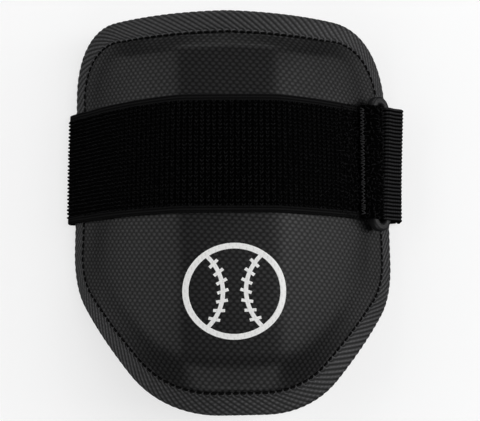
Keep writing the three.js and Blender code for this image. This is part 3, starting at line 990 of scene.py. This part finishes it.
half_width = STRAP_WIDTH / 2
flat_width = half_width - EDGE_ROUNDING
selvedge_steps = np.linspace(0.89, 1, 4)
face_steps = np.concatenate([-selvedge_steps[::-1], np.linspace(-0.86, 0.86, 9), selvedge_steps])
loop_face = [(w, half_strap - 0.25 * (abs(w) < half_width - SELVEDGE)) for w in face_steps * flat_width]
back_widths = np.linspace(flat_width, -flat_width, 186)
back_crest = 0.5 + 0.5 * np.cos(2 * np.pi * back_widths / BACK_RIB_PITCH)
back_face = [(w, -half_strap + BACK_RIB_HEIGHT * (1 - c**0.7)) for w, c in zip(back_widths, back_crest)]
section = [*loop_face, (half_width, 0.45 * half_strap), (half_width, -0.45 * half_strap), *back_face,
           (-half_width, -0.45 * half_strap), (-half_width, 0.45 * half_strap)]
widths = np.array([w for w, _ in section])
lifts = np.array([lift for _, lift in section])
across_row = np.append(widths + BACK_SHIFT * (np.arange(len(section)) >= len(loop_face) + 2), widths[0])
ring_rows, flat_rows = [], []
for place in strap_places:
    ring_rows.append(strap_surface(np.full(len(section), place), widths, lifts))
    flat_rows.append(np.stack([np.full(len(section) + 1, place), across_row], axis=1))
first, last = (np.broadcast_to(row.mean(axis=0), row.shape) for row in (ring_rows[0], ring_rows[-1]))
ring_rows = [first, *ring_rows, last]
flat_rows = [flat_rows[0], *flat_rows, flat_rows[-1]]
strap = skin("elastic_band", ring_rows, flat_rows)

elastic = Finish("elastic_web", roughness=0.75, specular=0.015)
along, across = elastic.flat()
on_back = across.smooth(BACK_SHIFT / 2 - 1, BACK_SHIFT / 2 + 1)
width_place = across - BACK_SHIFT * on_back
edge = abs(width_place).smooth(half_width - SELVEDGE - 0.2, half_width - SELVEDGE + 0.2)
cords = (width_place * (2 / CORD_PITCH)).wave() * 0.5 + 0.5
picks = (along * (2 / PICK_PITCH)).wave() * 0.5 + 0.5
back_ribs = (width_place * (2 / BACK_RIB_PITCH)).wave() * 0.5 + 0.5
on_tail = on_back * along.smooth(fold_end - 0.2, fold_end + 0.2)
# The selvedges are a little paler. The crests of their cords, and of the back's ribs on the tail, carry
# painted highlight, with painted shade in the grooves between them.
paler_selvedge_and_painted_shine = edge * (1 - on_back) * (0.06 + 0.2 * cords) + on_tail * back_ribs**2.0 * (0.6 + 0.4 * picks)
elastic.colour(paler_selvedge_and_painted_shine, ELASTIC_DARK, ELASTIC_LIGHT)
elastic.set("Normal", elastic.relief(cords * edge * 0.6 + picks * 0.4, 0.12))
strap.data.materials.append(elastic.material)
ride_and_replace(strap, "loop_elastic", "strap")

# Strap loops
# The brushed pile of the elastic: each stitch of the knit throws up two short loops of textured yarn
# that lean across one another, in columns along the strap's width and rows along its length.
COLUMN_PITCH = 2.5
ROW_PITCH = 1.68
LOOP_YARN = 0.5
LOOP_SPAN = 1.15
LOOP_HEIGHT = 0.7
LOOP_SUNK = 0.3
LOOP_LEAN = 58.0  # in degrees from the strap's length, to either side
COMBED_LEAN = 16.0  # the same where the loops lie down
COMBED_FLAT = 38.0  # along the strap from its left side, where the loops lie down along it
CRUMPLED = 15.0  # along the strap from the ring, where the loops are crushed
LOWEST_LOOP = 1.6  # the least height of a loop's foot over the table
PILE_DARK = (0.0001, 0.0001, 0.0001, 1)
PILE_LIGHT = (0.0125, 0.0125, 0.013, 1)
chance = np.random.default_rng(12)

pile = Finish("loop_pile", roughness=0.8, specular=0.0)
# Paler spots at random over the near-black pile are painted highlights on its loops; the same noise also
# bumps them.
fuzz_and_glints = pile.noise(0.9).smooth(0.15, 0.75)
pile.colour(fuzz_and_glints, PILE_DARK, PILE_LIGHT)
pile.set("Normal", pile.relief(fuzz_and_glints, 0.15))


def on_strap(places, widths, lift, facing, step):
    """Feet of yarns on the strap, and the ways out from it, along it and across it there."""
    lifts_here = np.full(len(places), lift)
    foot = strap_surface(places, widths, lifts_here)
    out = strap_surface(places, widths, lifts_here + facing) - foot
    ahead = strap_surface(places + step, widths, lifts_here) - foot
    return foot, out, ahead, strap_surface(places, widths + step, lifts_here) - foot


def pile_patch(name, start, end, steps, sides, strands_per_stitch, facing=1):
    """Loops over one face of the strap, from one distance along it to another. The two loops of a
    stitch lean across one another, and lie down along the strap where it has been combed flat. None
    are where the strap lies on the table."""
    pile_half = half_width - SELVEDGE - 0.3
    columns_here = np.arange(start + COLUMN_PITCH / 2, end, COLUMN_PITCH)
    rows_here = np.linspace(-pile_half, pile_half, round(2 * pile_half / ROW_PITCH) + 1)
    s, w = (grid.reshape(-1) for grid in np.meshgrid(columns_here, rows_here, indexing="ij"))
    flat = np.clip((s - face_end + COMBED_FLAT + 12) / 24, 0, 1)
    crushed = np.clip((face_start + CRUMPLED + 4 - s) / 6, 0, 1)
    places, alongs, normals, sizes = [], [], [], []
    for strand in range(strands_per_stitch):
        side = 1 if strand else -1
        apart = (0.16 + 0.13 * flat) * COLUMN_PITCH * (strands_per_stitch > 1)
        at = s + side * apart + chance.normal(0, 0.08 + 0.35 * crushed)
        wide = w * (1 + 0.12 * crushed) + chance.normal(0, 0.06 + 0.3 * crushed)
        foot, out, ahead, sideways = on_strap(at, wide, facing * (half_strap - LOOP_SUNK), facing, 0.4)
        lean = (LOOP_LEAN + (COMBED_LEAN - LOOP_LEAN) * flat) * side + chance.normal(0, 8 + 45 * crushed)
        lean = np.radians(lean)[:, None]
        places.append(foot)
        alongs.append(np.cos(lean) * ahead + np.sin(lean) * sideways)
        tilt = (0.25 + 0.8 * crushed)[:, None] * chance.normal(0, 1, (len(s), 1))
        normals.append(out + tilt * sideways)
        sizes.append((1 + chance.normal(0, 0.08 + 0.15 * crushed)) * (foot[:, 2] > LOWEST_LOOP))
    patch = yarn_row(
        name, *(np.concatenate(strand) for strand in (places, alongs, normals, sizes)), pile,
        span=LOOP_SPAN, height=LOOP_HEIGHT, yarn=LOOP_YARN, fullness=1.0, steps=steps, sides=sides,
    )
    ride_and_replace(patch, "loop_elastic")


pile_patch("strap_loops_face", face_start - 2.0, face_end + 6.0, 5, 4, 2)
pile_patch("strap_loops_right", place_of(np.array([side_x, PATCH_TOP])) + 1.0, far_bar_place - 4.0, 4, 4, 1)
pile_patch("strap_loops_fold", 1.6, fold_end + 2.6, 3, 4, 2, facing=-1)

# Sewn end seam
# The strap's end is folded back over the ring's near bar and overlocked down across its whole width
# in light grey thread, a tight zigzag that straddles the cut end.
ZIGZAG_PITCH = 0.82
SEAM_ACROSS = 1.6
SEAM_THREAD = 0.5
SEAM_COLOUR = (0.032, 0.032, 0.033, 1)

grey_thread = thread_finish("grey_thread", SEAM_COLOUR, twist=1.1)
zigzags = int((STRAP_WIDTH - 3.0) / ZIGZAG_PITCH)
seam_widths = (np.arange(zigzags) - (zigzags - 1) / 2) * ZIGZAG_PITCH
slants = np.where(np.arange(zigzags) % 2 == 0, 1.0, -1.0) + chance.normal(0, 0.7, zigzags)
foot, out, ahead, sideways = on_strap(np.full(zigzags, 0.75), seam_widths, -half_strap - 0.05, -1, 0.5)
seam_row = yarn_row(
    "sewn_end_seam", foot, ahead + 0.5 * slants[:, None] * sideways, out, np.ones(zigzags), grey_thread,
    span=SEAM_ACROSS, height=0.3, yarn=SEAM_THREAD, fullness=0.8, steps=4, sides=5,
)
ride_and_replace(seam_row, "loop_elastic")

# Strap ring
# One moulding of hard black plastic, a long loop with round ends and softened edges.
# It turns freely on the strap and lies flat against the guard's flank.
RING_LENGTH = STRAP_WIDTH + 2 * (RING_END_CLEARANCE + RING_BAR)
RING_WIDTH = RING_SLOT + 2 * RING_BAR
PLASTIC_DARK = (0.006, 0.006, 0.0065, 1)
PLASTIC_LIGHT = (0.012, 0.012, 0.013, 1)

ring_radius = (RING_WIDTH - RING_BAR) / 2
ring_straight = (RING_LENGTH - RING_WIDTH) / 2
turns = np.linspace(0, np.pi, 33)
upper = np.stack([ring_radius * np.cos(turns), ring_straight + ring_radius * np.sin(turns)], axis=1)
sides = np.linspace(ring_straight, -ring_straight, 14)[1:-1]
left_bar = np.stack([np.full(len(sides), -ring_radius), sides], axis=1)
loop_line = np.concatenate([upper, left_bar, -upper, -left_bar])
from_end = loop_line - np.sign(loop_line[:, 1:2]) * [0, ring_straight]
outward = unit(np.where(np.abs(loop_line[:, 1:2]) > ring_straight, from_end, loop_line * [1, 0]))
bar_section = []
for quarter, (x_sign, y_sign) in enumerate(((1, 1), (-1, 1), (-1, -1), (1, -1))):
    for turned in np.radians(np.linspace(0, 90, 6) + 90 * quarter):
        bar_section.append((
            x_sign * (RING_BAR / 2 - RING_ROUNDING) + RING_ROUNDING * math.cos(turned),
            y_sign * (RING_THICKNESS / 2 - RING_ROUNDING) + RING_ROUNDING * math.sin(turned),
        ))
sine, cosine = math.sin(ring_angle), math.cos(ring_angle)
rings = []
for out_by, up_by in bar_section:
    flat = loop_line + outward * out_by
    x = ring_aside + flat[:, 0] * cosine + up_by * sine
    z = ring_z - flat[:, 0] * sine + up_by * cosine
    rings.append(in_strap_plane(x, flat[:, 1], z))
ring = skin("moulded_ring", rings, closes=True)

plastic = Finish("moulded_plastic", specular=0.22)
grain = plastic.noise(0.6, 3.0)
plastic.colour(grain, PLASTIC_DARK, PLASTIC_LIGHT)
plastic.set("Roughness", 0.34 + 0.16 * grain)
plastic.set("Normal", plastic.relief(grain, 0.05))
ring.data.materials.append(plastic.material)
ride_and_replace(ring, "moulded_plastic", "strap_ring")

# Hook patch
# A plate of hook tape sewn to the strap's free end, which holds it to the loops beneath.
# It stays the plain solid of the frame, with the dull grain of packed nylon hooks.
HOOKS_DARK = (0.004, 0.004, 0.004, 1)
HOOKS_LIGHT = (0.02, 0.02, 0.021, 1)

hooks = Finish("hook_tape", roughness=0.7, specular=0.3)
bristle = hooks.noise(0.8, 3.0)
hooks.colour(bristle, HOOKS_DARK, HOOKS_LIGHT)
hooks.set("Normal", hooks.relief(bristle, 0.3))
hook_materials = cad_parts["hook_patch"].data.materials
hook_materials.clear()
hook_materials.append(hooks.material)
